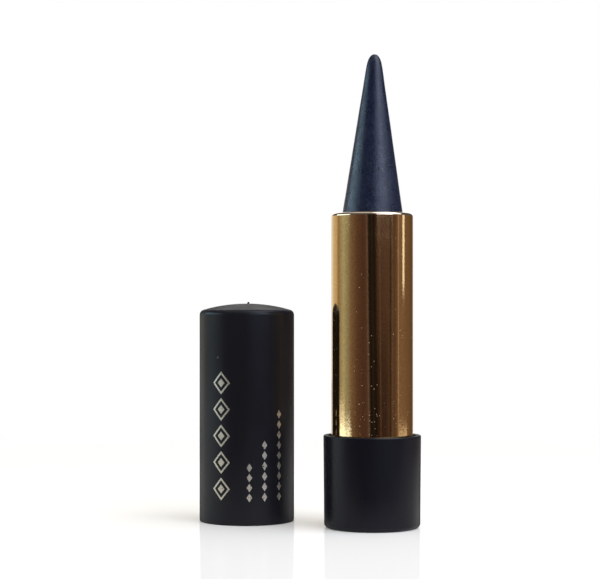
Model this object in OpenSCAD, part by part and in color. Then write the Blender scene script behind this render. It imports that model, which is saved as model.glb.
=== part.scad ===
// Twist-up kohl stick with its cap pulled off and stood beside it.
// Turning the bright tube against the base winds the kohl down out of sight.
// Millimetres, Z up, origin at the centre of the base's foot, X to the right, Y away from the viewer.

/* [Kohl stick] */
// Diameter of the kohl where the cup grips it
kohl_root_d = 11.6; // [10.8:0.1:12.6]
// How far the kohl stands out over the cup's rim, on the radius
kohl_step = 0.25; // [0.1:0.05:0.35]
// Height of the straight collar between the cup's rim and the cone
kohl_collar_h = 1.0; // [0.6:0.1:1.4]
// Length of kohl that stands out of the tube when it is fully raised
kohl_show = 31.3; // [24:0.1:36]
// Radius of the rounded tip
tip_r = 1.35; // [0.8:0.05:2]
// Depth of the tip below the tube's mouth when the kohl is wound down
tip_hide = 0.7; // [0.3:0.1:2]

/* [Carrier cup] */
// Wall of the cup that carries the kohl
cup_wall = 0.4; // [0.35:0.01:0.6]
// Height of the cup
cup_h = 10.8; // [8:0.1:14]
// Thickness of the cup's floor
cup_floor_t = 0.8; // [0.6:0.1:1.2]
// Depth of the cup's rim below the tube's mouth when fully raised
cup_below_mouth = 1.65; // [1.3:0.05:2.5]
// Space left under the cup when it is wound down
cup_floor_gap = 1.0; // [0.6:0.1:2]
// Diameter of the two lugs that the cup is driven by
lug_d = 1.5; // [1.1:0.1:1.8]
// Height of the lugs' centre over the cup's underside
lug_rise = 1.3; // [1.1:0.1:3]
// Number of ribs inside the cup
cup_rib_count = 6; // [3:1:8]
// Width of each rib inside the cup
cup_rib_w = 0.5; // [0.3:0.1:0.8]
// How far each rib bites into the kohl
cup_rib_depth = 0.3; // [0.15:0.05:0.5]
// Diameter of the air hole in the cup's floor
cup_vent_d = 2.0; // [1:0.1:3]

/* [Slotted tube] */
// Wall of the slotted inner tube
fork_wall = 0.5; // [0.45:0.01:0.7]
// Clearance round the lug in the slots and the spiral grooves
lug_gap = 0.12; // [0.08:0.01:0.25]
// Spare length past the lug at each end of the slots and grooves
end_gap = 0.3; // [0.15:0.05:0.6]
// Thickness of the flange that the turning parts stand on
flange_t = 0.75; // [0.6:0.05:1]
// Thickness of the slotted tube's floor
fork_floor_t = 1.2; // [0.8:0.1:2]
// Length of the splined foot below the flange
foot_len = 6.0; // [4:0.1:8]
// Wall of the hollow foot
foot_wall = 0.9; // [0.7:0.1:1.4]
// Number of splines round the foot
spline_count = 8; // [4:1:12]
// Width of each spline
spline_w = 0.8; // [0.5:0.1:1.2]
// Height of each spline
spline_h = 0.35; // [0.2:0.05:0.5]
// How far the snap lip at the top reaches out over the spiral sleeve
lip_reach = 0.34; // [0.2:0.02:0.4]
// Thickness of the snap lip before its slope starts
lip_t = 0.6; // [0.4:0.1:0.8]
// Distance of the snap lip below the tube's mouth
lip_drop = 3.2; // [3:0.1:4]
// Width of the slits that let the snap lip spring
slit_w = 0.8; // [0.5:0.1:1.2]
// Depth of those slits
slit_h = 5.0; // [4:0.1:6]

/* [Spiral sleeve] */
// Wall of the sleeve with the spiral grooves
sleeve_wall = 0.8; // [0.75:0.01:1]
// Depth of the two spiral grooves
groove_depth = 0.5; // [0.4:0.01:0.6]
// Rise of the kohl in one full turn of the tube
helix_lead = 18; // [16:0.5:24]

/* [Brake ring] */
// Thickness of the rubber ring that makes the turning stiff
ring_section_d = 0.7; // [0.5:0.02:0.74]

/* [Bright tube] */
// Wall of the drawn metal tube
tube_wall = 0.37; // [0.3:0.01:0.5]
// Radius of the rounded edge at the tube's mouth
mouth_round = 0.4; // [0.2:0.05:0.45]
// Width of the turned-in rim at the tube's mouth
mouth_lip = 1.35; // [1:0.05:1.4]

/* [Base] */
// Height of the base
base_h = 18.15; // [16:0.05:24]
// Gap between the tube and the base's rim
rim_gap = 0.6; // [0.4:0.05:1]
// Wall of the base at its rim
base_wall = 0.95; // [0.8:0.05:1.4]
// How much smaller the base is at its foot than at its rim, on the radius
base_draft = 0.15; // [0:0.05:0.3]
// Thickness of the base's floor
base_floor = 1.6; // [1.2:0.1:2.4]
// Radius of the rounded edge round the foot
foot_round = 1.0; // [0.3:0.1:1.4]
// Radius of the rounded edges of the base's rim and the cap's mouth
rim_round = 0.25; // [0.1:0.05:0.35]
// Depth of the dark groove between the tube and the rim
rim_depth = 2.7; // [2:0.1:3.5]
// Width of the flat ring that the base stands on
foot_ring_w = 1.45; // [1:0.05:3]
// Depth of the recess for the round label under the foot
label_recess = 0.25; // [0.2:0.05:0.5]
// Thickness of the label
label_t = 0.1; // [0.05:0.01:0.15]

/* [Insert and weight] */
// Wall of the insert round the weight
insert_wall = 1.3; // [1:0.1:2]
// Thickness of the shelf over the weight
shelf_gap = 0.25; // [0.1:0.05:0.6]
// Chamfer on the weight's edges
weight_chamfer = 0.4; // [0.2:0.1:0.8]

/* [Cap] */
// Height of bright tube that still shows with the cap on
closed_band = 1.3; // [0.8:0.1:3]
// Wall of the cap
cap_wall = 0.85; // [0.7:0.05:1.1]
// Thickness of the cap's domed top
cap_roof = 0.9; // [0.7:0.1:1.4]
// Radius of the dome
dome_r = 32; // [24:1:60]
// Radius of the rounded edge round the dome
cap_round = 0.55; // [0.3:0.05:0.9]
// Diameter of the small moulding nub on the dome
nub_d = 0.5; // [0.3:0.1:1]
// Height of the nub
nub_h = 0.35; // [0.2:0.05:0.6]
// Distance of the nub from the cap's axis
nub_off = 0.3; // [0:0.1:1]
// Wall of the liner inside the cap
liner_wall = 0.48; // [0.4:0.02:0.6]
// Distance of the liner's lower edge from the cap's mouth
liner_inset = 0.6; // [0.3:0.1:2]
// Number of grip ribs inside the liner
grip_count = 8; // [4:1:12]
// Width of each grip rib
grip_w = 0.8; // [0.5:0.1:1.5]
// Length of each grip rib
grip_len = 8; // [4:0.5:14]
// Distance of the cap's axis from the base's axis, to the left
cap_left = 25.0; // [22:0.1:40]
// Distance of the cap's axis from the base's axis, to the rear
cap_rear = 10.9; // [0:0.1:30]

/* [Clearances] */
// Sliding clearance between the cup and the slotted tube, on the radius
slide_gap = 0.07; // [0.04:0.01:0.1]
// Turning clearance between the slotted tube and the spiral sleeve, on the radius
turn_gap = 0.07; // [0.04:0.01:0.1]
// Clearance between pieces pressed into each other, on the radius
press_gap = 0.02; // [0.01:0.01:0.05]
// Clearance of the spline's sides and top in their notches
spline_gap = 0.05; // [0.03:0.01:0.1]
// Clearance under parts that turn
end_play = 0.04; // [0.03:0.01:0.1]
// Clearance between the grip ribs and the tube, on the radius
grip_gap = 0.05; // [0.02:0.01:0.1]

/* [Hidden] */

$fn = 96;
arc_steps = 8;
dome_steps = 16;
groove_steps = 6;
groove_step_a = 7.5;
ring_sides = 32;
nub_sides = 24;
full_turn = 360;
right_angle = 90;
cut_over = 1;

black = [0.10, 0.10, 0.11];
gold = [0.76, 0.60, 0.36];
navy = [0.14, 0.17, 0.24];
white = [0.90, 0.89, 0.86];
ivory = [0.86, 0.84, 0.78];
grey = [0.55, 0.56, 0.58];
smoke = [0.35, 0.35, 0.36];

// Radii, from the kohl outwards
kohl_root_r = kohl_root_d / 2;
kohl_r = kohl_root_r + kohl_step;
cup_r = kohl_root_r + press_gap + cup_wall;
fork_in_r = cup_r + slide_gap;
fork_r = fork_in_r + fork_wall;
sleeve_in_r = fork_r + turn_gap;
sleeve_r = sleeve_in_r + sleeve_wall;
tube_in_r = sleeve_r + press_gap;
tube_r = tube_in_r + tube_wall;
base_in_r = tube_r + rim_gap;
base_r = base_in_r + base_wall;
base_foot_r = base_r - base_draft;
mouth_hole_r = tube_r - mouth_lip;
groove_r = sleeve_in_r + groove_depth;
lip_r = fork_r + lip_reach;
spline_root_r = fork_r - foot_wall / 2;
recess_r = lip_r + lug_gap;
flange_r = sleeve_r;
label_r = base_foot_r - foot_round - foot_ring_w;

// Heights, from the foot upwards
insert_z = base_floor + press_gap;
insert_top_z = base_h - rim_depth;
foot_z = insert_top_z - foot_len;
flange_z = insert_top_z + press_gap;
flange_top_z = flange_z + flange_t;
ring_top_z = flange_top_z + press_gap + ring_section_d;
sleeve_z = ring_top_z + end_play;
tube_z = insert_top_z + end_gap;
travel = kohl_show + tip_hide;
cup_low_z = flange_top_z + cup_floor_gap;
cup_z = cup_low_z + travel;
cup_rim_z = cup_z + cup_h;
tube_top_z = cup_rim_z + cup_below_mouth;
lug_z = cup_z + lug_rise;
lug_low_z = lug_z - travel;
kohl_z = cup_z + cup_floor_t + press_gap;
kohl_tip_z = tube_top_z + kohl_show;
sleeve_top_z = tube_top_z - tube_wall - press_gap;
lip_z = tube_top_z - lip_drop;
fork_top_z = sleeve_top_z - end_gap;
pocket_r = base_in_r - press_gap - insert_wall;
pocket_top_z = foot_z - shelf_gap;

// The lug, its slot and its groove
lug_r = lug_d / 2;
slot_r = lug_r + lug_gap;
lug_tip_r = groove_r - lug_gap;
helix_slope = atan(helix_lead / (2 * PI * sleeve_in_r));
groove_half_h = slot_r / cos(helix_slope);
groove_half_a = groove_half_h / helix_lead * full_turn;
groove_z = lug_low_z - lug_r - end_gap;
groove_len = travel + 2 * (lug_r + end_gap);
groove_slices = ceil(groove_len / helix_lead * full_turn / groove_step_a);
groove_corners = groove_steps + 3;
groove_turns = ceil(groove_len / helix_lead);

// The cap
tube_show = tube_top_z - base_h;
ceiling_r = dome_r - cap_roof;
seat_r = tube_r - mouth_round;
cap_h = tube_show - closed_band + cap_roof + sag(ceiling_r, seat_r);
cap_r = base_r;
cap_in_r = cap_r - cap_wall;
liner_r = cap_in_r - press_gap;
liner_in_r = liner_r - liner_wall;
liner_top_z = cap_h - cap_roof - sag(ceiling_r, cap_in_r) - press_gap;
grip_r = tube_r + grip_gap;

// Points of an arc round [x, z], from angle a0 to angle a1
function arc(x, z, r, a0, a1, steps = arc_steps) =
    [for (i = [0:steps]) let (a = a0 + (a1 - a0) * i / steps) [x + r * cos(a), z + r * sin(a)]];

// Drop of a dome of radius r at the distance x from its axis
function sag(r, x) = r - sqrt(r * r - x * x);

// Copies the children round the Z axis
module around(count) {
    for (i = [0:count - 1])
        rotate([0, 0, i * full_turn / count])
            children();
}

// A ring from radius r_in to r_out and from z_low to z_high
module ring(r_in, r_out, z_low, z_high) {
    translate([0, 0, z_low])
        difference() {
            cylinder(r = r_out, h = z_high - z_low);
            translate([0, 0, -cut_over])
                cylinder(r = r_in, h = z_high - z_low + 2 * cut_over);
        }
}

// Upright bars standing on a cylinder, from radius r_in to r_out
module bars(count, w, r_in, r_out, z_low, z_high) {
    around(count)
        translate([r_in, -w / 2, z_low])
            cube([r_out - r_in, w, z_high - z_low]);
}

module base_shell() {
    wall_a = atan(base_draft / (base_h - foot_round));
    color(black)
        rotate_extrude()
            polygon(concat(
                [[0, label_recess], [label_r, label_recess], [label_r, 0]],
                arc(base_foot_r - foot_round, foot_round, foot_round, -right_angle, -wall_a),
                arc(base_r - rim_round, base_h - rim_round, rim_round, -wall_a, right_angle),
                arc(base_in_r + rim_round, base_h - rim_round, rim_round, right_angle, 2 * right_angle),
                [[base_in_r, base_floor], [0, base_floor]]));
}

// The splines of the foot, or their notches when grown by the clearance
module splines(z_low, z_high, grow = 0) {
    bars(spline_count, spline_w + 2 * grow, spline_root_r, fork_r + spline_h + grow, z_low, z_high);
}

module base_insert() {
    color(ivory)
        difference() {
            translate([0, 0, insert_z])
                cylinder(r = base_in_r - press_gap, h = insert_top_z - insert_z);
            translate([0, 0, insert_z - cut_over])
                cylinder(r = pocket_r, h = pocket_top_z - insert_z + cut_over);
            cylinder(r = fork_r + press_gap, h = insert_top_z + cut_over);
            splines(pocket_top_z - cut_over, insert_top_z + cut_over, spline_gap);
        }
}

module base_weight() {
    weight_r = pocket_r - spline_gap;
    weight_top_z = pocket_top_z - spline_gap;
    color(grey)
        rotate_extrude()
            polygon([[0, insert_z], [weight_r - weight_chamfer, insert_z],
                     [weight_r, insert_z + weight_chamfer], [weight_r, weight_top_z - weight_chamfer],
                     [weight_r - weight_chamfer, weight_top_z], [0, weight_top_z]]);
}

module shade_label() {
    color(white)
        translate([0, 0, label_recess - press_gap - label_t])
            cylinder(r = label_r - end_play, h = label_t);
}

// One straight slot with round ends, cut along +X through the tube's wall
module fork_slot() {
    slot_low_z = lug_low_z - end_gap;
    slot_high_z = lug_z + end_gap;
    for (z = [slot_low_z, slot_high_z])
        translate([0, 0, z])
            rotate([0, right_angle, 0])
                cylinder(r = slot_r, h = sleeve_r);
    translate([0, -slot_r, slot_low_z])
        cube([sleeve_r, 2 * slot_r, slot_high_z - slot_low_z]);
}

module fork_tube() {
    color(white)
        difference() {
            union() {
                rotate_extrude()
                    polygon([[fork_r - foot_wall, foot_z], [fork_r, foot_z],
                             [fork_r, flange_z], [flange_r, flange_z],
                             [flange_r, flange_top_z], [fork_r, flange_top_z],
                             [fork_r, lip_z + end_play], [lip_r, lip_z + end_play],
                             [lip_r, lip_z + lip_t], [fork_r, fork_top_z],
                             [fork_in_r, fork_top_z], [fork_in_r, flange_top_z],
                             [0, flange_top_z], [0, flange_top_z - fork_floor_t],
                             [fork_r - foot_wall, flange_top_z - fork_floor_t]]);
                splines(foot_z, flange_z);
            }
            around(2)
                fork_slot();
            rotate([0, 0, right_angle])
                translate([-sleeve_r, -slit_w / 2, fork_top_z - slit_h])
                    cube([2 * sleeve_r, slit_w, slit_h + cut_over]);
        }
}

module brake_ring() {
    ring_r = (fork_r + turn_gap + sleeve_r) / 2;
    color(smoke)
        translate([0, 0, flange_top_z + press_gap + ring_section_d / 2])
            rotate_extrude()
                translate([ring_r, 0])
                    circle(d = ring_section_d, $fn = ring_sides);
}

// The space that one spiral groove takes out of the sleeve, right-handed
module spiral_groove() {
    start_a = (groove_z - lug_z) / helix_lead * full_turn;
    inner_r = sleeve_in_r - turn_gap;
    translate([0, 0, groove_z])
        rotate([0, 0, start_a])
            linear_extrude(height = groove_len, twist = -groove_len / helix_lead * full_turn,
                           slices = groove_slices, segments = groove_corners, convexity = groove_turns)
                polygon(concat([[inner_r * cos(groove_half_a), inner_r * sin(groove_half_a)],
                                [inner_r * cos(groove_half_a), -inner_r * sin(groove_half_a)]],
                               arc(0, 0, groove_r, -groove_half_a, groove_half_a, groove_steps)));
}

module spiral_sleeve() {
    color(ivory)
        difference() {
            ring(sleeve_in_r, sleeve_r, sleeve_z, sleeve_top_z);
            ring(0, recess_r, lip_z, tube_top_z);
            around(2)
                spiral_groove();
        }
}

module gold_tube() {
    lip_round = tube_wall / 2;
    color(gold)
        rotate_extrude()
            polygon(concat(
                [[tube_in_r, tube_z], [tube_r, tube_z]],
                arc(tube_r - mouth_round, tube_top_z - mouth_round, mouth_round, 0, right_angle),
                arc(mouth_hole_r + lip_round, tube_top_z - lip_round, lip_round, right_angle,
                    3 * right_angle),
                [[tube_in_r, tube_top_z - tube_wall]]));
}

// The ribs inside the cup, or their notches in the kohl when grown by the clearance
module cup_ribs(z_low, z_high, grow = 0) {
    bars(cup_rib_count, cup_rib_w + 2 * grow, kohl_root_r - cup_rib_depth - grow,
         kohl_root_r + cup_wall / 2, z_low, z_high);
}

module carrier_cup() {
    color(white)
        difference() {
            union() {
                ring(kohl_root_r + press_gap, cup_r, cup_z, cup_rim_z);
                translate([0, 0, cup_z])
                    cylinder(r = cup_r - cup_wall / 2, h = cup_floor_t);
                rotate([0, 0, right_angle])
                    cup_ribs(cup_z, cup_rim_z - cup_wall);
                around(2)
                    translate([cup_r - cup_wall / 2, 0, lug_z])
                        rotate([0, right_angle, 0])
                            cylinder(d = lug_d, h = lug_tip_r - cup_r + cup_wall / 2);
            }
            translate([0, 0, cup_z - cut_over])
                cylinder(d = cup_vent_d, h = cup_floor_t + 2 * cut_over);
        }
}

module kohl_stick() {
    cone_z = cup_rim_z + kohl_collar_h;
    cone_len = kohl_tip_z - tip_r - cone_z;
    cone_a = atan(kohl_r / cone_len) - asin(tip_r / norm([kohl_r, cone_len]));
    color(navy)
        difference() {
            rotate_extrude()
                polygon(concat(
                    [[0, kohl_z], [kohl_root_r, kohl_z],
                     [kohl_root_r, cup_rim_z + press_gap], [kohl_r, cup_rim_z + press_gap],
                     [kohl_r, cone_z]],
                    arc(0, kohl_tip_z - tip_r, tip_r, cone_a, right_angle)));
            rotate([0, 0, right_angle])
                cup_ribs(kohl_z - cut_over, cup_rim_z - cup_wall + press_gap, press_gap);
        }
}

module cap_shell() {
    dome_z = cap_h - dome_r;
    edge_r = cap_r - cap_round;
    edge_z = dome_z + sqrt(pow(dome_r - cap_round, 2) - edge_r * edge_r);
    edge_a = atan2(edge_z - dome_z, edge_r);
    ceiling_a = acos(cap_in_r / ceiling_r);
    color(black)
        translate([-cap_left, cap_rear, 0]) {
            rotate_extrude()
                polygon(concat(
                    arc(cap_in_r + rim_round, rim_round, rim_round, 2 * right_angle, 3 * right_angle),
                    arc(cap_r - rim_round, rim_round, rim_round, -right_angle, 0),
                    arc(edge_r, edge_z, cap_round, 0, edge_a),
                    arc(0, dome_z, dome_r, edge_a, right_angle, dome_steps),
                    arc(0, dome_z, ceiling_r, right_angle, ceiling_a, dome_steps)));
            translate([nub_off, 0, cap_h - cap_roof / 2])
                cylinder(d = nub_d, h = cap_roof / 2 + nub_h, $fn = nub_sides);
        }
}

module cap_liner() {
    color(ivory)
        translate([-cap_left, cap_rear, 0]) {
            ring(liner_in_r, liner_r, liner_inset, liner_top_z);
            bars(grip_count, grip_w, grip_r, liner_in_r + liner_wall / 2,
                 2 * liner_inset, 2 * liner_inset + grip_len);
        }
}

base_shell();
base_insert();
base_weight();
shade_label();
fork_tube();
brake_ring();
spiral_sleeve();
gold_tube();
carrier_cup();
kohl_stick();
cap_shell();
cap_liner();
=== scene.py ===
"""Dresses the packed solids of a twist-up kohl stick and its cap, and sets their studio.

Metres, in the frame of the solids: origin at the centre of the base's foot, Z up,
X to the right and Y away from the camera.
"""
import math

import bmesh
import bpy
from bpy.props import FloatProperty, FloatVectorProperty, IntProperty, PointerProperty
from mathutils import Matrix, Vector, noise


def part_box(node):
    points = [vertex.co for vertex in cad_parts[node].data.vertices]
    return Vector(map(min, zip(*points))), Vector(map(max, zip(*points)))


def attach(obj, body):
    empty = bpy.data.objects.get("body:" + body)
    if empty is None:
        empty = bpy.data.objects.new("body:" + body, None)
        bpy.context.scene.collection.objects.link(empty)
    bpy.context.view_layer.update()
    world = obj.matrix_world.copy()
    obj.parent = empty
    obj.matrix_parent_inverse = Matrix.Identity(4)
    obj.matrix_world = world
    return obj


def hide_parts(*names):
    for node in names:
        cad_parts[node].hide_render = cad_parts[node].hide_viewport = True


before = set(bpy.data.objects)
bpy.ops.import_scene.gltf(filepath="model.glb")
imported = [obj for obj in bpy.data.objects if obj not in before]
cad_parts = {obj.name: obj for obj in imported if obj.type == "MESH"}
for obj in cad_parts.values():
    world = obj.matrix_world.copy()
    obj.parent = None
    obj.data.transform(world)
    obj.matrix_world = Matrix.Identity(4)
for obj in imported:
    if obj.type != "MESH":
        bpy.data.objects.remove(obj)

bl_info = {
    "name": "Twist-up kohl stick",
    "version": (1, 0, 0),
    "blender": (4, 5, 0),
    "location": "View3D > Sidebar > Kohl stick",
    "description": "Builds the outer pieces, finishes and studio of a twist-up kohl stick",
    "category": "Object",
}

MM = 0.001
FULL_TURN = 2 * math.pi
# Steps of a rounded corner, of the cap's dome and of the cone's side.
ARC_STEPS = 8
DOME_STEPS = 14
CONE_STEPS = 60
# Edges that bend more than this stay sharp.
SHARP_ANGLE = math.radians(40)
# The nub on the dome: its top and its rounding as shares of its radius, and how far round it, in
# widths of the nub, the dome is drawn aside with it.
NUB_TOP = 0.6
NUB_ROUND = 0.5
NUB_SPREAD = 4
# Roundings of the tube's turned-in lip and of its foot, as shares of its wall.
LIP_ROUND = 0.49
TUBE_FOOT_ROUND = 0.25
# Gap between the kohl's collar and the cup's rim, rounding of the collar's edge, width of the
# hollows left by handling, and height over which they fade out towards the tip.
COLLAR_GAP = 0.02 * MM
COLLAR_ROUND = 0.08 * MM
HOLLOW_SIZE = 4 * MM
HOLLOW_FADE = 1 * MM
WHITE = (1, 1, 1)
BLACK = (0, 0, 0)
# Depth to which the cap's wall takes the stamped pattern.
FOIL_DEPTH = 0.1 * MM
# Columns of the pattern on the cap: middle (measured round the cap from its front), width, height,
# number of lozenges, and whether they have a rim and a heart.
FOIL_COLUMNS = [
    (-5.1 * MM, 4.6 * MM, 26.3 * MM, 5, True),
    (0.8 * MM, 1.3 * MM, 7.9 * MM, 4, False),
    (3.9 * MM, 1.3 * MM, 12.4 * MM, 6, False),
    (7.3 * MM, 1.3 * MM, 18.4 * MM, 9, False),
]
# How far a lozenge, the inside of its rim and its heart reach, as shares of its cell.
LOZENGE_EDGE = 0.86
LOZENGE_RIM = 0.66
LOZENGE_HEART = 0.34


def reach(node):
    """The outer radius of a round solid, and its lowest and highest point."""
    low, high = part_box(node)
    return (high.y - low.y) / 2, low.z, high.z


CASE_R, FOOT_Z, BASE_TOP = reach("base_shell")
TUBE_R, TUBE_LOW, TUBE_TOP = reach("gold_tube")
KOHL_R, KOHL_LOW, KOHL_TIP = reach("kohl_stick")
CUP_RIM = reach("carrier_cup")[2]
CAP_R, CAP_FOOT, CAP_TOP = reach("cap_shell")
LABEL_R = reach("shade_label")[0]
CAP_LOW_CORNER, CAP_HIGH_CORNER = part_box("cap_shell")
CAP_AXIS = (CAP_LOW_CORNER + CAP_HIGH_CORNER) / 2


def length(name, text, default):
    """A property that holds a length in metres."""
    return FloatProperty(name=name, description=text, default=default, min=0, unit="LENGTH",
                         precision=5)


def share(name, text, default, top=1.0):
    """A property that holds a share, from 0 to top."""
    return FloatProperty(name=name, description=text, default=default, min=0, max=top,
                         subtype="FACTOR")


def colour(name, text, default):
    """A property that holds a colour without alpha."""
    return FloatVectorProperty(name=name, description=text, default=default, size=3, min=0, max=1,
                               subtype="COLOR")


class BlackCaseSettings(bpy.types.PropertyGroup):
    """The black base and cap."""
    tint: colour("Black", "Colour of the soft black plastic", (0.0054, 0.0056, 0.0096))
    roughness: share("Roughness", "How dull the black plastic is", 0.30)
    # The cap's black is a lighter copy of the base's black. It is painted light, standing in for
    # light that falls on the cap; the plastic is the same.
    cap_tint_painted_lighter: colour("Cap black", "Colour of the cap's plastic, which is handled more",
                     (0.0080, 0.0082, 0.0118))
    cap_roughness: share("Cap roughness", "How dull the cap's plastic is", 0.33)
    lint: colour("Lint", "Colour of the lint on the plastic", (0.07, 0.07, 0.075))
    dust: colour("Dust", "Colour of the fine dust on the plastic", (0.05, 0.05, 0.055))
    wall: length("Base wall", "Wall of the base at its rim", 0.95 * MM)
    draft: length("Draft", "How much narrower the base is at its foot", 0.15 * MM)
    foot_round: length("Foot rounding", "Radius of the edge round the foot", 0.85 * MM)
    rim_round: length("Rim rounding", "Radius of the edges of rim and mouth", 0.25 * MM)
    floor: length("Base floor", "Height of the base's floor inside", 1.6 * MM)
    recess: length("Label recess", "Depth of the recess under the foot", 0.25 * MM)
    recess_gap: length("Label gap", "Gap between the label and its recess", 0.04 * MM)
    cap_wall: length("Cap wall", "Wall of the cap", 0.85 * MM)
    cap_roof: length("Cap roof", "Thickness of the cap's top", 0.9 * MM)
    dome: length("Dome radius", "Radius of the cap's domed top", 32 * MM)
    cap_round: length("Shoulder rounding", "Radius of the edge round the dome", 1.1 * MM)
    nub_width: length("Nub width", "Width of the moulding nub on the dome", 0.5 * MM)
    nub_height: length("Nub height", "Height of the moulding nub", 0.35 * MM)
    nub_offset: length("Nub offset", "Distance of the nub from the cap's axis", 0.3 * MM)
    foil: colour("Foil", "Colour of the pattern stamped on the cap", (0.72, 0.66, 0.54))
    foil_roughness: share("Foil roughness", "How dull the stamped pattern is", 0.45)
    foil_low: length("Foil foot", "Height at which the pattern starts", 4.6 * MM)
    sides: IntProperty(name="Sides", description="Faces round the case", default=256, min=32)


class BrightTubeSettings(bpy.types.PropertyGroup):
    """The gold tube."""
    tint: colour("Gold", "Colour of the anodised metal", (0.90, 0.61, 0.29))
    roughness: share("Roughness", "How dull the metal is", 0.07)
    worn: colour("Worn mouth", "Colour of the metal where the mouth is worn", (0.92, 0.87, 0.78))
    dust: colour("Dust", "Colour of the dust on the metal", (0.33, 0.23, 0.13))
    dust_top: length("Dust height", "Height of the dusty part over the base", 20 * MM)
    wall: length("Wall", "Wall of the drawn tube", 0.37 * MM)
    mouth_lip: length("Mouth lip", "Width of the turned-in rim at the mouth", 1.35 * MM)
    mouth_round: length("Mouth rounding", "Radius of the edge at the mouth", 0.6 * MM)
    sides: IntProperty(name="Sides", description="Faces round the tube", default=320, min=32)


class KohlSettings(bpy.types.PropertyGroup):
    """The kohl itself."""
    tint: colour("Kohl", "Colour of the kohl", (0.0047, 0.0113, 0.040))
    roughness: share("Roughness", "How dull the kohl is", 0.31)
    step: length("Step", "How far the kohl stands out over the cup's rim", 0.25 * MM)
    collar: length("Collar", "Height of the straight collar under the cone", 1.0 * MM)
    neck: length("Neck", "Radius that the cone's sides would have at the tip", 1.205 * MM)
    tip_flat: share("Tip flat", "Width of the worn flat, as a share of the neck", 0.36)
    tip_soft: length("Tip softness", "Depth over which the tip rounds off", 0.57 * MM)
    lean: FloatProperty(name="Lean", description="How far the kohl leans to the right",
                        default=math.radians(0.7), subtype="ANGLE")
    shift: length("Shift", "How far the kohl sits to the right in the mouth", 0.05 * MM)
    waviness: length("Waviness", "Depth of the hollows left by handling", 0.03 * MM)
    sides: IntProperty(name="Sides", description="Faces round the kohl", default=192, min=32)


class InnerPartSettings(bpy.types.PropertyGroup):
    """The parts inside, the cap's liner and the label."""
    white: colour("White", "Colour of the slotted tube and the cup", (0.80, 0.79, 0.76))
    white_roughness: share("White roughness", "How dull the white plastic is", 0.32)
    ivory: colour("Ivory", "Colour of the insert, sleeve and liner", (0.72, 0.70, 0.63))
    ivory_roughness: share("Ivory roughness", "How dull the ivory plastic is", 0.42)
    steel: colour("Steel", "Colour of the weight", (0.56, 0.57, 0.59))
    rubber: colour("Rubber", "Colour of the brake ring", (0.24, 0.24, 0.25))
    paper: colour("Paper", "Colour of the label", (0.83, 0.82, 0.79))
    ring: length("Printed ring", "Radius of the ring printed on the label", 5.6 * MM)
    ring_width: length("Ring width", "Width of the printed ring", 0.35 * MM)
    dot: length("Colour dot", "Radius of the colour dot on the label", 2.3 * MM)


class StudioSettings(bpy.types.PropertyGroup):
    """Camera, lamps and table."""
    camera_left: length("Camera left", "Distance of the camera to the left", 14.2 * MM)
    camera_back: length("Camera distance", "Distance of the camera in front", 325.5 * MM)
    camera_height: length("Camera height", "Height of the camera", 41.45 * MM)
    lens: FloatProperty(name="Lens", description="Focal length", default=99.24, unit="CAMERA")
    shift: FloatProperty(name="Shift", description="Upward shift of the picture", default=0.04497)
    fill: share("Fill", "Light from all round on dull surfaces", 0.60, 2)
    fill_tint: colour("Fill colour", "Colour of the light from all round", (1.0, 0.93, 0.82))
    key: share("Key", "Brightness of the large lamp above right", 2.3, 10)
    front: share("Front", "Brightness of the low lamp in front", 2.5, 10)
    window: share("Window", "Brightness of the low lamp on the left", 2.7, 10)
    strip: share("Strip", "Brightness of the small lamp on the right", 1.1, 10)
    table_tint: colour("Table", "Colour of the table", (0.88, 0.862, 0.835))
    table_sheen: colour("Table sheen", "Colour of what the table mirrors", (1.0, 0.985, 0.96))
    table_roughness: share("Table roughness", "How blurred the table mirrors", 0.10)
    table_gloss: share("Table gloss", "How much the table mirrors at a low angle", 0.155)
    table_glow: share("Table glow", "Plain white added to the table, as the camera sees it", 0.13)
    table_front: length("Table front", "Reach of the table in front, as mirrors see it", 27 * MM)
    table_left: length("Table left", "Reach of the table to the left, as mirrors see it", 460 * MM)
    table_right: length("Table right", "Reach of the table to the right, as mirrors see it",
                        90 * MM)


SETTINGS = {
    "kohl_black": BlackCaseSettings,
    "kohl_gold": BrightTubeSettings,
    "kohl_stick": KohlSettings,
    "kohl_inner": InnerPartSettings,
    "kohl_studio": StudioSettings,
}


def settings(name):
    """The settings of that name in the open scene."""
    return getattr(bpy.context.scene, name)


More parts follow.
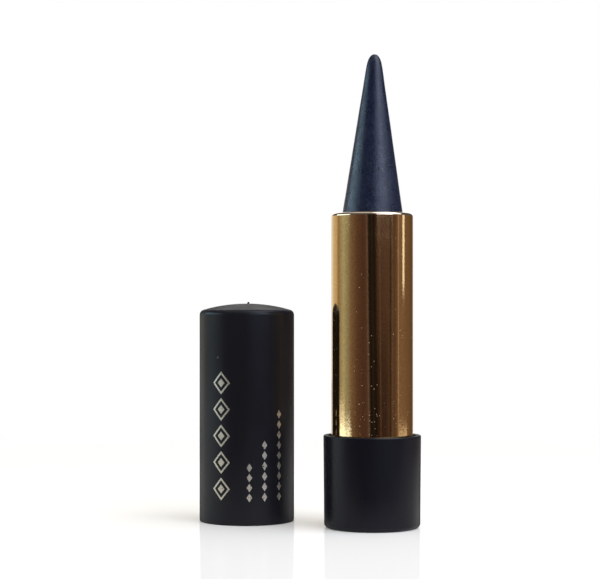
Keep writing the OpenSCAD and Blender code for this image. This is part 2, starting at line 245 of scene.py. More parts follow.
class Graph:
    """Short calls for the shader nodes of a material or of the world."""

    def __init__(self, owner):
        owner.use_nodes = True
        self.owner = owner
        self.tree = owner.node_tree
        self.tree.nodes.clear()

    def add(self, kind, inputs=None, **values):
        """A new node with its own values, and its inputs set or linked."""
        node = self.tree.nodes.new("ShaderNode" + kind)
        for name, value in values.items():
            setattr(node, name, value)
        for name, value in (inputs or {}).items():
            self.feed(node.inputs[name], value)
        return node

    def feed(self, socket, value):
        """Links an output to a socket, or sets the socket's own value."""
        if isinstance(value, bpy.types.NodeSocket):
            self.tree.links.new(value, socket)
        elif socket.type == "RGBA" and len(value) == 3:
            socket.default_value = (*value, 1)
        else:
            socket.default_value = value

    def maths(self, operation, *values):
        """The result of that operation."""
        return self.add("Math", dict(enumerate(values)), operation=operation).outputs[0]

    def mix(self, factor, first, second):
        """A colour between two colours."""
        node = self.add("Mix", {0: factor, 6: first, 7: second}, data_type="RGBA")
        return node.outputs[2]

    def between(self, value, low, high, to_low=0.0, to_high=1.0):
        """A value moved from one range to another, and held inside it."""
        node = self.add("MapRange", {"Value": value, "From Min": low, "From Max": high,
                                     "To Min": to_low, "To Max": to_high},
                        interpolation_type="SMOOTHSTEP")
        return node.outputs["Result"]

    def ramp(self, value, stops):
        """A colour from a list of (position, colour) stops."""
        node = self.add("ValToRGB", {"Fac": value})
        elements = node.color_ramp.elements
        while len(elements) < len(stops):
            elements.new(0.5)
        for element, (position, tint) in zip(elements, stops):
            element.position = position
            element.color = (*tint, 1)
        return node.outputs["Color"]

    def place(self, stretch=(1, 1, 1)):
        """Coordinates that stay with the piece, stretched along the axes."""
        coordinates = self.add("TexCoord").outputs["Object"]
        return self.add("Mapping", {"Vector": coordinates, "Scale": stretch}).outputs["Vector"]

    def grain(self, size, detail=2.0, stretch=(1, 1, 1), distortion=0.0):
        """Soft noise whose patches are about that size."""
        return self.add("TexNoise", {"Vector": self.place(stretch), "Scale": 1 / size,
                                     "Detail": detail, "Distortion": distortion}).outputs["Fac"]

    def specks(self, spacing, radius, kept):
        """Mask of scattered round specks, the share that is kept of one in every cell."""
        cells = self.add("TexVoronoi", {"Vector": self.place(), "Scale": 1 / spacing})
        size = self.add("SeparateColor", {"Color": cells.outputs["Color"]})
        chosen = self.maths("LESS_THAN", size.outputs["Red"], kept)
        wide = self.maths("MULTIPLY", size.outputs["Green"], radius / spacing)
        spot = self.maths("LESS_THAN", cells.outputs["Distance"], wide)
        return self.maths("MULTIPLY", chosen, spot)

    def edge_on(self):
        """From 0 where a surface is seen straight on to 1 where it is seen edge on."""
        return self.add("LayerWeight", {"Blend": 0.5}).outputs["Facing"]

    def surface(self, inputs):
        """A principled surface as the material's output."""
        shader = self.add("BsdfPrincipled", inputs)
        self.output("Material", shader)
        return self.owner

    def blend(self, factor, first, second):
        """A shader between two shaders."""
        return self.add("MixShader", {0: factor, 1: first.outputs[0], 2: second.outputs[0]})

    def join(self, first, second):
        """The light of two shaders together."""
        return self.add("AddShader", {0: first.outputs[0], 1: second.outputs[0]})

    def output(self, kind, shader):
        """The output node, fed from that shader."""
        self.add("Output" + kind, {"Surface": shader.outputs[0]})

    def bumps(self, *heights):
        """A normal with several heights on it, each given as (height, depth in metres)."""
        normal = None
        for height, depth in heights:
            inputs = {"Height": height, "Distance": depth}
            if normal:
                inputs["Normal"] = normal
            normal = self.add("Bump", inputs).outputs["Normal"]
        return normal


def tinted(tint, factor):
    """A colour made lighter or darker."""
    return [min(1.0, part * factor) for part in tint]


def lozenges(graph, across, up, place):
    """Mask of one of the cap's columns of lozenges."""
    middle, width, height, count, hearted = place
    foot = settings("kohl_black").foil_low
    beside = graph.maths("ABSOLUTE", graph.maths("SUBTRACT", across, middle))
    aside = graph.maths("DIVIDE", beside, width / 2)
    along = graph.maths("MULTIPLY", graph.maths("SUBTRACT", up, foot), count / height)
    off_middle = graph.maths("ABSOLUTE", graph.maths("SUBTRACT", graph.maths("FRACT", along), 0.5))
    reached = graph.maths("ADD", aside, graph.maths("MULTIPLY", off_middle, 2.0))
    drawn = graph.maths("LESS_THAN", reached, LOZENGE_EDGE)
    if hearted:
        rim = graph.maths("GREATER_THAN", reached, LOZENGE_RIM)
        heart = graph.maths("LESS_THAN", reached, LOZENGE_HEART)
        drawn = graph.maths("MULTIPLY", drawn, graph.maths("MAXIMUM", rim, heart))
    above = graph.maths("GREATER_THAN", along, 0.0)
    below = graph.maths("LESS_THAN", along, float(count))
    return graph.maths("MULTIPLY", drawn, graph.maths("MULTIPLY", above, below))


def foil_pattern(graph):
    """Mask of the columns of lozenges that are stamped on the front of the cap."""
    flat = graph.add("VectorMath", {0: graph.add("TexCoord").outputs["Object"],
                                    1: (CAP_AXIS.x, CAP_AXIS.y, 0)}, operation="SUBTRACT")
    parts = graph.add("SeparateXYZ", {0: flat.outputs["Vector"]}).outputs
    turn = graph.maths("ARCTAN2", parts["X"], graph.maths("MULTIPLY", parts["Y"], -1.0))
    across = graph.maths("MULTIPLY", turn, CAP_R)
    outside = graph.add("VectorMath", {0: graph.place((1, 1, 0)), 1: (CAP_AXIS.x, CAP_AXIS.y, 0)},
                        operation="DISTANCE").outputs["Value"]
    on_wall = graph.maths("GREATER_THAN", outside, CAP_R - FOIL_DEPTH)
    columns = None
    for place in FOIL_COLUMNS:
        column = lozenges(graph, across, parts["Z"], place)
        columns = column if columns is None else graph.maths("MAXIMUM", columns, column)
    return graph.maths("MULTIPLY", on_wall, columns)


def black_plastic(name, stamped=False):
    """Soft black plastic: fine satin grain, lint, faint smears from handling."""
    case = settings("kohl_black")
    graph = Graph(bpy.data.materials.new(name))
    # The cap takes the lighter copy of the black, which is painted light.
    plain = case.cap_tint_painted_lighter if stamped else case.tint
    dull = case.cap_roughness if stamped else case.roughness
    smears = graph.grain(9 * MM, detail=3, stretch=(1, 1, 0.5), distortion=0.6)
    tint = graph.mix(smears, tinted(plain, 0.8), tinted(plain, 1.25))
    lint = graph.specks(spacing=3.5 * MM, radius=0.24 * MM, kept=0.4)
    tint = graph.mix(lint, tint, case.lint)
    dust = graph.specks(spacing=1.6 * MM, radius=0.035 * MM, kept=0.2)
    tint = graph.mix(dust, tint, case.dust)
    roughness = graph.between(smears, 0.3, 0.7, dull - 0.04, dull + 0.05)
    duller = graph.between(graph.edge_on(), 0.55, 0.95, to_high=0.30)
    roughness = graph.maths("ADD", roughness, duller)
    satin = graph.grain(0.09 * MM)
    flow = graph.grain(4 * MM, stretch=(1, 1, 0.3))
    bumps = [(flow, 0.012 * MM), (satin, 0.0015 * MM), (lint, 0.02 * MM)]
    inputs = {"IOR": 1.5, "Specular IOR Level": 0.26}
    if stamped:
        worn = graph.between(graph.grain(0.3 * MM, detail=3), 0.30, 0.42)
        foil = graph.maths("MULTIPLY", foil_pattern(graph), worn)
        tint = graph.mix(foil, tint, case.foil)
        roughness = graph.mix(foil, roughness, [case.foil_roughness] * 3)
        inputs["Metallic"] = foil
        bumps.append((foil, -0.008 * MM))
    return graph.surface({**inputs, "Base Color": tint, "Roughness": roughness,
                          "Normal": graph.bumps(*bumps)})


def gold_metal():
    """Bright gold metal: mottled, with drawn streaks, ripples, scratches, dust and a worn mouth."""
    gold = settings("kohl_gold")
    graph = Graph(bpy.data.materials.new("Gold anodised metal"))
    height = graph.add("SeparateXYZ", {0: graph.place()}).outputs["Z"]
    streaks = graph.grain(0.5 * MM, stretch=(1, 1, 0.03))
    ripples = graph.grain(0.3 * MM, detail=3, stretch=(1, 1, 0.6))
    scratches = graph.grain(0.05 * MM, detail=1, stretch=(1, 1, 0.02))
    cloud = graph.grain(3 * MM, detail=4, stretch=(1, 1, 0.8), distortion=0.4)
    speckle = graph.between(graph.grain(0.35 * MM, detail=3), 0.35, 0.65)
    darker = graph.mix(cloud, tinted(gold.tint, 0.84), tinted(gold.tint, 0.96))
    lighter = graph.mix(cloud, tinted(gold.tint, 0.98), tinted(gold.tint, 1.09))
    tint = graph.mix(speckle, darker, lighter)
    mouth = graph.between(height, TUBE_TOP - 0.9 * MM, TUBE_TOP - 0.2 * MM, to_high=0.5)
    tint = graph.mix(mouth, tint, gold.worn)
    settled = graph.between(height, BASE_TOP, BASE_TOP + gold.dust_top,
                            to_low=0.6, to_high=0.08)
    dust = graph.specks(spacing=0.47 * MM, radius=0.09 * MM, kept=settled)
    tint = graph.mix(dust, tint, gold.dust)
    haze = graph.between(cloud, 0.48, 0.75, gold.roughness, gold.roughness + 0.02)
    roughness = graph.maths("MAXIMUM", haze, graph.maths("MULTIPLY", dust, 0.7))
    return graph.surface({
        "Base Color": tint, "Metallic": graph.maths("SUBTRACT", 1.0, dust), "Roughness": roughness,
        "Normal": graph.bumps((streaks, 0.0010 * MM), (ripples, 0.0055 * MM),
                              (scratches, 0.0002 * MM), (dust, 0.012 * MM)),
    })


def kohl_wax():
    """Dense dark kohl: mottled, with a dull sheen, drag marks, fine crumbs and small pits, painted
    darker as shade.
    """
    kohl = settings("kohl_stick")
    graph = Graph(bpy.data.materials.new("Dark blue kohl"))
    mottle = graph.grain(2.2 * MM, detail=5, stretch=(1, 1, 0.7), distortion=0.5)
    fine = graph.grain(0.32 * MM, detail=3)
    drag = graph.grain(0.35 * MM, stretch=(1, 1, 0.06))
    tint = graph.mix(mottle, tinted(kohl.tint, 0.75), tinted(kohl.tint, 1.35))
    tint = graph.mix(graph.between(fine, 0.35, 0.65), tinted(kohl.tint, 0.55), tint)
    # Small pits, bumped in and rougher; their darker colour is painted shade in the pits.
    pits_and_shade = graph.specks(spacing=0.9 * MM, radius=0.17 * MM, kept=0.45)
    tint = graph.mix(pits_and_shade, tint, tinted(kohl.tint, 0.3))
    crumbs = graph.specks(spacing=0.6 * MM, radius=0.09 * MM, kept=0.5)
    tint = graph.mix(crumbs, tint, tinted(kohl.tint, 3.0))
    dull = graph.between(mottle, 0.3, 0.7, kohl.roughness - 0.05, kohl.roughness + 0.07)
    grainy = graph.between(fine, 0.4, 0.7, to_low=-0.03, to_high=0.14)
    dull = graph.maths("ADD", dull, grainy)
    roughness = graph.maths("MAXIMUM", dull, graph.maths("MULTIPLY", pits_and_shade, 0.75))
    return graph.surface({
        "Base Color": tint, "Roughness": roughness, "IOR": 1.52,
        "Normal": graph.bumps((mottle, 0.045 * MM), (drag, 0.004 * MM), (fine, 0.030 * MM),
                              (pits_and_shade, -0.05 * MM), (crumbs, 0.03 * MM)),
    })


def moulded(name, tint, roughness):
    """Pale moulded plastic: faint flow marks and a fine spark-eroded grain."""
    graph = Graph(bpy.data.materials.new(name))
    flow = graph.grain(5 * MM, detail=3, stretch=(1, 1, 0.35), distortion=0.5)
    grain = graph.grain(0.12 * MM)
    return graph.surface({
        "Base Color": graph.mix(flow, tinted(tint, 0.93), tinted(tint, 1.04)),
        "Roughness": graph.between(flow, 0.3, 0.7, roughness - 0.05, roughness + 0.06),
        "Subsurface Weight": 0.08, "Subsurface Radius": (1.0 * MM, 1.0 * MM, 0.8 * MM),
        "Normal": graph.bumps((flow, 0.01 * MM), (grain, 0.003 * MM)),
    })


def turned_steel():
    """Turned steel: fine rings from the tool, and darker patches of oil."""
    inner = settings("kohl_inner")
    graph = Graph(bpy.data.materials.new("Turned steel"))
    rings = graph.add("TexWave", {"Vector": graph.place(), "Scale": 1 / (2.5 * MM),
                                  "Distortion": 0.4, "Detail": 1.0},
                      wave_type="RINGS", rings_direction="Z").outputs["Fac"]
    oil = graph.grain(3 * MM, detail=3)
    return graph.surface({
        "Base Color": graph.mix(oil, tinted(inner.steel, 0.8), tinted(inner.steel, 1.05)),
        "Metallic": 1.0, "Roughness": graph.between(oil, 0.3, 0.7, 0.28, 0.42),
        "Normal": graph.bumps((rings, 0.006 * MM)),
    })


def ring_rubber():
    """Grey silicone rubber with a bloom on it."""
    inner = settings("kohl_inner")
    graph = Graph(bpy.data.materials.new("Silicone rubber"))
    bloom = graph.grain(0.8 * MM, detail=3)
    return graph.surface({
        "Base Color": graph.mix(bloom, tinted(inner.rubber, 0.85), tinted(inner.rubber, 1.2)),
        "Roughness": graph.between(bloom, 0.3, 0.7, 0.45, 0.62),
        "Normal": graph.bumps((bloom, 0.01 * MM)),
    })


def label_paper():
    """White paper with a printed ring and a dot of the kohl's colour."""
    inner = settings("kohl_inner")
    kohl = settings("kohl_stick")
    graph = Graph(bpy.data.materials.new("Label paper"))
    flat = graph.place((1, 1, 0))
    from_axis = graph.add("VectorMath", {0: flat}, operation="LENGTH").outputs["Value"]
    off_ring = graph.maths("ABSOLUTE", graph.maths("SUBTRACT", from_axis, inner.ring))
    ring = graph.maths("LESS_THAN", off_ring, inner.ring_width / 2)
    dot = graph.maths("LESS_THAN", from_axis, inner.dot)
    ink = graph.maths("MAXIMUM", ring, dot)
    fibres = graph.grain(0.25 * MM, detail=4, stretch=(1, 0.4, 1), distortion=0.8)
    paper = graph.mix(fibres, tinted(inner.paper, 0.94), tinted(inner.paper, 1.03))
    return graph.surface({
        "Base Color": graph.mix(ink, paper, tinted(kohl.tint, 1.6)),
        "Roughness": graph.between(fibres, 0.3, 0.7, 0.5, 0.66),
        "Normal": graph.bumps((fibres, 0.008 * MM), (ink, 0.006 * MM)),
    })


def rounded(corners):
    """Points of an outline from (radius, height, rounding) corners, with true arcs on them."""
    points = []
    for index, (radius, height, rounding) in enumerate(corners):
        corner = Vector((radius, height))
        if not rounding:
            points.append(corner)
            continue
        before = (Vector(corners[index - 1][:2]) - corner).normalized()
        after = (Vector(corners[(index + 1) % len(corners)][:2]) - corner).normalized()
        half = before.angle(after) / 2
        centre = corner + (before + after).normalized() * rounding / math.sin(half)
        start = corner + before * rounding / math.tan(half) - centre
        end = corner + after * rounding / math.tan(half) - centre
        points += [centre + start.slerp(end, step / ARC_STEPS).normalized() * rounding
                   for step in range(ARC_STEPS + 1)]
    return points


def dome(radius, apex, outer, inner=0.0):
    """Corners of a dome's outline, from its outer edge inwards."""
    steps = range(DOME_STEPS + 1)
    offsets = [outer + (inner - outer) * step / DOME_STEPS for step in steps]
    return [(r, apex - radius + math.sqrt(radius * radius - r * r), 0) for r in offsets]


def turned(name, outline, sides):
    """A piece turned round the Z axis from a closed outline of (radius, height) points."""
    mesh = bmesh.new()
    rings = []
    for point in outline:
        count = sides if point.x > 0 else 1
        rings.append([mesh.verts.new((point.x * math.cos(FULL_TURN * i / sides),
                                      point.x * math.sin(FULL_TURN * i / sides), point.y))
                      for i in range(count)])
    for lower, upper in zip(rings, rings[1:] + rings[:1]):
        if len(lower) == len(upper) == 1:
            continue
        for i in range(sides):
            corners = [ring[k % len(ring)] for ring, k in
                       ((lower, i), (lower, (i + 1) % sides), (upper, (i + 1) % sides), (upper, i))]
            mesh.faces.new(dict.fromkeys(corners))
    bmesh.ops.recalc_face_normals(mesh, faces=mesh.faces)
    for edge in mesh.edges:
        edge.smooth = edge.calc_face_angle(0) < SHARP_ANGLE
    for face in mesh.faces:
        face.smooth = True
    data = bpy.data.meshes.new(name)
    mesh.to_mesh(data)
    mesh.free()
    piece = bpy.data.objects.new(name, data)
    bpy.context.collection.objects.link(piece)
    shading = piece.modifiers.new("Even shading", "WEIGHTED_NORMAL")
    shading.keep_sharp = True
    return piece


def dress(piece, body, node, finish):
    """Gives a new piece its body and its finish, and hides the solid that it stands for."""
    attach(piece, body)
    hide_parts(node)
    piece.data.materials.append(finish)


class KOHL_OT_base_case(bpy.types.Operator):
    """Turns the black base, with its rim, rounded foot and label recess"""
    bl_idname = "kohl.base_case"
    bl_label = "Black base"

    def execute(self, context):
        case = settings("kohl_black")
        inside = CASE_R - case.wall
        recess = LABEL_R + case.recess_gap
        outline = rounded([
            (0, case.recess, 0), (recess, case.recess, 0), (recess, FOOT_Z, case.rim_round / 2),
            (CASE_R - case.draft, FOOT_Z, case.foot_round), (CASE_R, BASE_TOP, case.rim_round),
            (inside, BASE_TOP, case.rim_round), (inside, case.floor, 0), (0, case.floor, 0),
        ])
        piece = turned("base_case", outline, case.sides)
        dress(piece, "base", "base_shell", black_plastic("Soft black plastic"))
        return {"FINISHED"}


class KOHL_OT_cap_case(bpy.types.Operator):
    """Turns the black cap, with its mouth, domed top and moulding nub"""
    bl_idname = "kohl.cap_case"
    bl_label = "Black cap"

    def execute(self, context):
        case = settings("kohl_black")
        inside = CAP_R - case.cap_wall
        apex = CAP_TOP - case.nub_height
        nub_r = case.nub_width / 2
        shoulder = dome(case.dome, apex, CAP_R)[0][1]
        outer = dome(case.dome, apex, CAP_R - 2 * case.cap_round, nub_r)
        ceiling = dome(case.dome - case.cap_roof, apex - case.cap_roof, inside)
        outline = rounded([
            (inside, CAP_FOOT, case.rim_round), (CAP_R, CAP_FOOT, case.rim_round),
            (CAP_R, shoulder, case.cap_round), *outer,
            (nub_r * NUB_TOP, CAP_TOP, nub_r * NUB_ROUND), (0, CAP_TOP, 0), *reversed(ceiling),
        ])
        piece = turned("cap_case", outline, case.sides)
        for vertex in piece.data.vertices:
            off_axis = vertex.co.to_2d().length
            above = vertex.co.z > apex - case.cap_roof / 2
            spread = off_axis / (NUB_SPREAD * case.nub_width)
            pull = max(0.0, 1 - spread ** 2) if above else 0
            vertex.co += Vector((case.nub_offset * pull + CAP_AXIS.x, CAP_AXIS.y, 0))
        dress(piece, "cap", "cap_shell", black_plastic("Stamped black plastic", True))
        return {"FINISHED"}


class KOHL_OT_bright_tube(bpy.types.Operator):
    """Turns the gold tube, with its rounded mouth and turned-in rim"""
    bl_idname = "kohl.bright_tube"
    bl_label = "Bright tube"

    def execute(self, context):
        gold = settings("kohl_gold")
        inside = TUBE_R - gold.wall
        hole = TUBE_R - gold.mouth_lip
        lip_round = gold.wall * LIP_ROUND
        outline = rounded([
            (inside, TUBE_LOW, 0), (TUBE_R, TUBE_LOW, gold.wall * TUBE_FOOT_ROUND),
            (TUBE_R, TUBE_TOP, gold.mouth_round), (hole, TUBE_TOP, lip_round),
            (hole, TUBE_TOP - gold.wall, lip_round), (inside, TUBE_TOP - gold.wall, 0),
        ])
        piece = turned("bright_tube", outline, gold.sides)
        dress(piece, "barrel", "gold_tube", gold_metal())
        return {"FINISHED"}


class KOHL_OT_kohl_cone(bpy.types.Operator):
    """Turns the kohl with its cone and worn tip, then leans and wears it"""
    bl_idname = "kohl.kohl_cone"
    bl_label = "Kohl"

    def execute(self, context):
        kohl = settings("kohl_stick")
        root = KOHL_R - kohl.step
        cone_z = CUP_RIM + kohl.collar
        cone_height = KOHL_TIP - cone_z
        slope = (KOHL_R - kohl.neck) / cone_height
        depths = [cone_height * (1 - step / CONE_STEPS) ** 2 for step in range(1, CONE_STEPS + 1)]
        tip = [((kohl.neck + slope * depth)
                * (1 - (1 - kohl.tip_flat) * math.exp(-depth / kohl.tip_soft)),
                KOHL_TIP - depth, 0) for depth in depths]
        collar_z = CUP_RIM + COLLAR_GAP
        outline = rounded([
            (0, KOHL_LOW, 0), (root, KOHL_LOW, 0), (root, collar_z, 0),
            (KOHL_R, collar_z, COLLAR_ROUND), (KOHL_R, cone_z, 0), *tip, (0, KOHL_TIP, 0),
        ])
        piece = turned("kohl_cone", outline, kohl.sides)
        for vertex in piece.data.vertices:
            height = vertex.co.z - cone_z
            if height < 0 or vertex.co.to_2d().length == 0:
                continue
            hollow = noise.noise(vertex.co / HOLLOW_SIZE) * kohl.waviness
            fade = min(1.0, height / kohl.collar)
            fade *= min(1.0, (KOHL_TIP - vertex.co.z) / HOLLOW_FADE)
            vertex.co += Vector((vertex.co.x, vertex.co.y, 0)).normalized() * hollow * fade
        for vertex in piece.data.vertices:
            height = vertex.co.z - CUP_RIM
            if height > 0:
                settle = min(1.0, height / kohl.collar)
                vertex.co.x += math.tan(kohl.lean) * height + kohl.shift * settle
        dress(piece, "carrier", "kohl_stick", kohl_wax())
        return {"FINISHED"}


class KOHL_OT_inner_parts(bpy.types.Operator):
    """Gives the parts inside, the cap's liner and the label their finishes"""
    bl_idname = "kohl.inner_parts"
    bl_label = "Inner parts"

    def execute(self, context):
        inner = settings("kohl_inner")
        white = moulded("White moulded plastic", inner.white, inner.white_roughness)
        ivory = moulded("Ivory moulded plastic", inner.ivory, inner.ivory_roughness)
        finishes = {
            "base_insert": ivory, "spiral_sleeve": ivory, "cap_liner": ivory,
            "fork_tube": white, "carrier_cup": white, "base_weight": turned_steel(),
            "brake_ring": ring_rubber(), "shade_label": label_paper(),
        }
        for node, finish in finishes.items():
            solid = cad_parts[node]
            for place in solid.material_slots:
                place.material = finish
        return {"FINISHED"}


# Half the table's side, and how far from the stick it starts and ends fading to plain white.
TABLE_REACH = 0.7
FADE_START = 0.09
FADE_END = 0.26
# How edge on the table has to be seen to start mirroring, and to mirror fully.
SHEEN_START = 0.70
SHEEN_FULL = 0.84
# Lit cards that lie on the table and that only mirrors see: left, right, front and back edge,
# and light.
TABLE_CARDS = [
    (-305 * MM, -200 * MM, -118 * MM, 60 * MM, (1.05, 1.36, 1.70)),
    (230 * MM, 290 * MM, -60 * MM, 100 * MM, (0.50, 0.50, 0.50)),
]


def within(graph, left, right, front, back):
    """Mask of a rectangle on the table."""
    place = graph.add("SeparateXYZ", {0: graph.place()}).outputs
    mask = graph.maths("GREATER_THAN", place["X"], left)
    for axis, operation, edge in (("X", "LESS_THAN", right), ("Y", "GREATER_THAN", front),
                                  ("Y", "LESS_THAN", back)):
        mask = graph.maths("MULTIPLY", mask, graph.maths(operation, place[axis], edge))
    return mask


def table_finish():
    """White table: the camera sees it fade to plain white, and all else sees its set edges."""
    studio = settings("kohl_studio")
    graph = Graph(bpy.data.materials.new("White table"))
    matt = graph.add("BsdfDiffuse", {"Color": studio.table_tint})
    gloss = graph.add("BsdfGlossy", {"Color": studio.table_sheen,
                                     "Roughness": studio.table_roughness})
    sheen = graph.between(graph.edge_on(), SHEEN_START, SHEEN_FULL, to_high=studio.table_gloss)
    plain = graph.blend(sheen, matt, gloss)
    glow = graph.add("Emission", {"Color": WHITE, "Strength": studio.table_glow})
    near = graph.join(plain, glow)
    far = graph.add("Emission", {"Color": WHITE, "Strength": 1.0})
    away = graph.add("VectorMath", {0: graph.place()}, operation="LENGTH").outputs["Value"]
    seen = graph.blend(graph.between(away, FADE_START, FADE_END), near, far)
    inside = within(graph, -studio.table_left, studio.table_right, -studio.table_front,
                    TABLE_REACH)
    mirrored = graph.blend(inside, graph.add("BsdfTransparent"), plain)
    light = BLACK
    for left, right, front, back, tint in TABLE_CARDS:
        light = graph.mix(within(graph, left, right, front, back), light, tint)
    rays = graph.add("LightPath").outputs
    cards = graph.add("Emission", {"Color": light, "Strength": rays["Is Glossy Ray"]})
    mirrored = graph.join(mirrored, cards)
    graph.output("Material", graph.blend(rays["Is Camera Ray"], mirrored, seen))
    return graph.owner


# What mirrors and sheen see round the object, by bearing in degrees to the right of the camera:
# a pale wall and window on the left, brown shade towards the front, the dark camera, and a warm
# wall on the right.
ROOM = [
    (-180, (0.84, 0.82, 0.76)), (-152, (0.84, 0.82, 0.76)), (-142, (0.66, 0.61, 0.46)),
    (-122, (0.56, 0.48, 0.36)), (-113, (0.27, 0.21, 0.13)), (-90, (0.40, 0.45, 0.38)),
    (-64, (0.18, 0.14, 0.11)), (-45, (0.10, 0.06, 0.05)), (-28, (0.07, 0.04, 0.035)),
    (-14, (0.08, 0.05, 0.055)), (-10, (0.01, 0.01, 0.01)), (8, (0.015, 0.01, 0.01)),
    (13, (0.06, 0.038, 0.033)), (34, (0.08, 0.05, 0.045)), (63, (0.09, 0.06, 0.05)),
    (84, (0.20, 0.14, 0.11)), (125, (0.15, 0.10, 0.065)), (146, (0.10, 0.065, 0.05)),
    (158, (0.30, 0.24, 0.21)), (168, (0.84, 0.82, 0.76)), (180, (0.84, 0.82, 0.76)),
]
# Narrow upright things in the room: bearing, half width in degrees, colour.
ROOM_STRIPS = [
    (-15, 3.5, (0.13, 0.10, 0.11)), (-1, 3, (0.025, 0.02, 0.02)), (20, 3, (0.11, 0.07, 0.07)),
    (50, 4, (0.03, 0.02, 0.015)), (57, 3, (0.12, 0.09, 0.08)), (76.5, 3.5, (0.38, 0.29, 0.25)),
]
# How far the things straight ahead lean: turns of bearing per unit of height.
ROOM_LEAN = 0.15
# Bearing and colour of the shade low in front, then the colours of the room's upper part, of its
# ceiling and of the lit backdrop behind the object.
SHADE_BEARING = 24
SHADE_TINT = (0.01, 0.006, 0.006)
UPPER_TINT = (0.095, 0.095, 0.115)
CEILING_TINT = (0.55, 0.55, 0.56)
BACKDROP_TINT = (1.7, 1.64, 1.57)


def bearing(degrees):
    """Bearing as a share of a turn, with the camera's at one half."""
    return 0.5 + degrees / 360


def off_bearing(graph, turn, degrees):
    """How far a direction is from a bearing, as a share of a turn."""
    return graph.maths("ABSOLUTE", graph.maths("SUBTRACT", turn, bearing(degrees)))


def studio_room(graph):
    """Colour of the room in each direction: its walls and things by bearing, then by height."""
    direction = graph.add("SeparateXYZ", {0: graph.add("TexCoord").outputs["Generated"]}).outputs
    upwards = direction["Z"]
    side = graph.maths("ARCTAN2", direction["X"], graph.maths("MULTIPLY", direction["Y"], -1.0))
    turn = graph.maths("ADD", graph.maths("DIVIDE", side, FULL_TURN), 0.5)
    lean = graph.between(off_bearing(graph, turn, 0), 0.03, 0.10, to_low=ROOM_LEAN, to_high=0.0)
    turn = graph.maths("ADD", turn, graph.maths("MULTIPLY", upwards, lean))
    room = graph.ramp(turn, [(bearing(place), tint) for place, tint in ROOM])
    shade = graph.between(off_bearing(graph, turn, SHADE_BEARING), 0.03, 0.08,
                          to_low=1.0, to_high=0.0)
    low = graph.between(upwards, -0.05, 0.02, to_low=0.6, to_high=0.0)
    room = graph.mix(graph.maths("MULTIPLY", shade, low), room, SHADE_TINT)
    for place, width, tint in ROOM_STRIPS:
        strip = graph.between(off_bearing(graph, turn, place), 0.0, width / 360,
                              to_low=1.0, to_high=0.0)
        room = graph.mix(strip, room, tint)
    room = graph.mix(graph.between(upwards, 0.07, 0.2), room, UPPER_TINT)
    room = graph.mix(graph.between(upwards, 0.72, 0.86), room, CEILING_TINT)
    behind = graph.between(off_bearing(graph, turn, 0), 0.44, 0.48)
    under = graph.between(upwards, 0.5, 0.75, to_low=1.0, to_high=0.0)
    behind = graph.maths("MULTIPLY", behind, under)
    behind = graph.maths("MULTIPLY", behind, graph.between(upwards, 0.05, 0.10))
    return graph.mix(behind, room, BACKDROP_TINT)


def studio_world():
    """White to the camera, even fill on dull surfaces, and the room in mirrors and sheen."""
    studio = settings("kohl_studio")
    graph = Graph(bpy.data.worlds.new("Studio"))
    mirrors = graph.add("Background", {"Color": studio_room(graph), "Strength": 1.0})
    fill = graph.add("Background", {"Color": studio.fill_tint, "Strength": studio.fill})
    white = graph.add("Background", {"Color": WHITE, "Strength": 1.0})
    rays = graph.add("LightPath").outputs
    lit = graph.blend(rays["Is Glossy Ray"], fill, mirrors)
    graph.output("World", graph.blend(rays["Is Camera Ray"], lit, white))
    return graph.owner


# The lamps: setting, name, bearing and height in degrees, distance, width and height, colour.
LAMPS = [
    ("key", "Key lamp", 65, 52, 0.45, (0.46, 0.46), (0.82, 0.88, 1.0)),
    ("front", "Front lamp", 35, 20, 0.45, (0.38, 0.18), (0.62, 0.72, 1.0)),
    ("window", "Window lamp", -95, 19, 0.45, (0.44, 0.16), (0.58, 0.84, 1.0)),
    ("strip", "Strip lamp", 95, 6, 0.40, (0.055, 0.04), (0.80, 0.92, 1.0)),
]


def lamp(name, side, height, distance, size, tint, radiance):
    """An area lamp that shines at the middle of the object."""
    data = bpy.data.lights.new(name, "AREA")
    data.shape = "RECTANGLE"
    data.size, data.size_y = size
    data.energy = radiance * math.pi * size[0] * size[1]
    data.color = tint
    piece = bpy.data.objects.new(name, data)
    bpy.context.collection.objects.link(piece)
    turn, rise = math.radians(side), math.radians(height)
    way = Vector((math.sin(turn) * math.cos(rise), -math.cos(turn) * math.cos(rise),
                  math.sin(rise)))
    piece.location = Vector((CAP_AXIS.x / 2, 0, TUBE_TOP / 2)) + way * distance
    piece.rotation_euler = way.to_track_quat("Z", "Y").to_euler()


def white_table():
    """The square table that base and cap stand on."""
    corners = [(-1, -1), (1, -1), (1, 1), (-1, 1)]
    data = bpy.data.meshes.new("table")
    data.from_pydata([(x * TABLE_REACH, y * TABLE_REACH, 0) for x, y in corners], [],
                     [(0, 1, 2, 3)])
    data.materials.append(table_finish())
    table = bpy.data.objects.new("table", data)
    bpy.context.collection.objects.link(table)


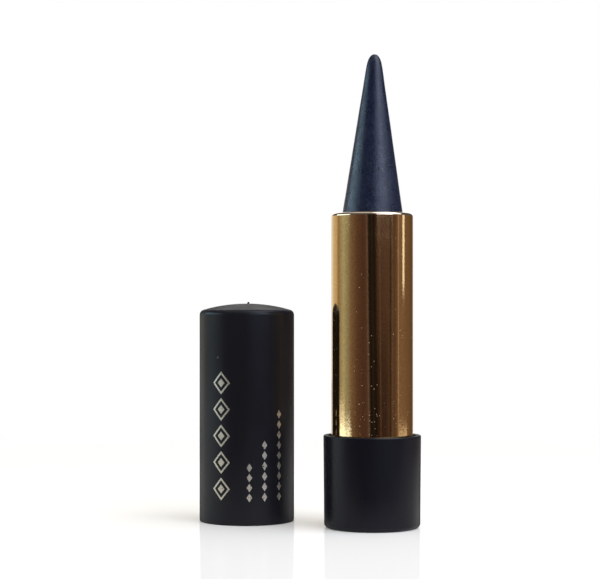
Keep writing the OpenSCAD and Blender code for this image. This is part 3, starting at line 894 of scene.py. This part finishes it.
def level_camera():
    """The camera, held level in front of the object."""
    studio = settings("kohl_studio")
    data = bpy.data.cameras.new("camera")
    data.sensor_fit = "HORIZONTAL"
    data.sensor_width = 36
    data.lens = studio.lens
    data.shift_y = studio.shift
    data.clip_start = 10 * MM
    camera = bpy.data.objects.new("camera", data)
    camera.location = (-studio.camera_left, -studio.camera_back, studio.camera_height)
    camera.rotation_euler = (math.radians(90), 0, 0)
    bpy.context.collection.objects.link(camera)
    return camera


class KOHL_OT_studio(bpy.types.Operator):
    """Sets the white table, the lamps, the world and the camera"""
    bl_idname = "kohl.studio"
    bl_label = "Studio"

    def execute(self, context):
        scene = context.scene
        studio = settings("kohl_studio")
        white_table()
        scene.world = studio_world()
        for setting, *place in LAMPS:
            lamp(*place, getattr(studio, setting))
        scene.camera = level_camera()
        scene.view_settings.view_transform = "Standard"
        return {"FINISHED"}


STEPS = [KOHL_OT_base_case, KOHL_OT_cap_case, KOHL_OT_bright_tube, KOHL_OT_kohl_cone,
         KOHL_OT_inner_parts, KOHL_OT_studio]


class KOHL_PT_container(bpy.types.Panel):
    """Lists the pieces, and the settings that they are built from"""
    bl_label = "Kohl stick"
    bl_idname = "KOHL_PT_container"
    bl_space_type = "VIEW_3D"
    bl_region_type = "UI"
    bl_category = "Kohl stick"

    def draw(self, context):
        for name, group in SETTINGS.items():
            box = self.layout.box()
            box.label(text=group.__doc__)
            for field in group.__annotations__:
                box.prop(getattr(context.scene, name), field)
        for step in STEPS:
            self.layout.operator(step.bl_idname)


CLASSES = [*SETTINGS.values(), *STEPS, KOHL_PT_container]


def register():
    """Adds the settings, operators and panel to Blender."""
    for item in CLASSES:
        bpy.utils.register_class(item)
    for name, group in SETTINGS.items():
        setattr(bpy.types.Scene, name, PointerProperty(type=group))


def unregister():
    """Takes them away again."""
    for name in SETTINGS:
        delattr(bpy.types.Scene, name)
    for item in reversed(CLASSES):
        bpy.utils.unregister_class(item)


def main():
    """Builds every piece and the studio."""
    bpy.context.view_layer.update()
    register()
    bpy.ops.kohl.base_case()
    bpy.ops.kohl.cap_case()
    bpy.ops.kohl.bright_tube()
    bpy.ops.kohl.kohl_cone()
    bpy.ops.kohl.inner_parts()
    bpy.ops.kohl.studio()


if __name__ == "__main__":
    main()
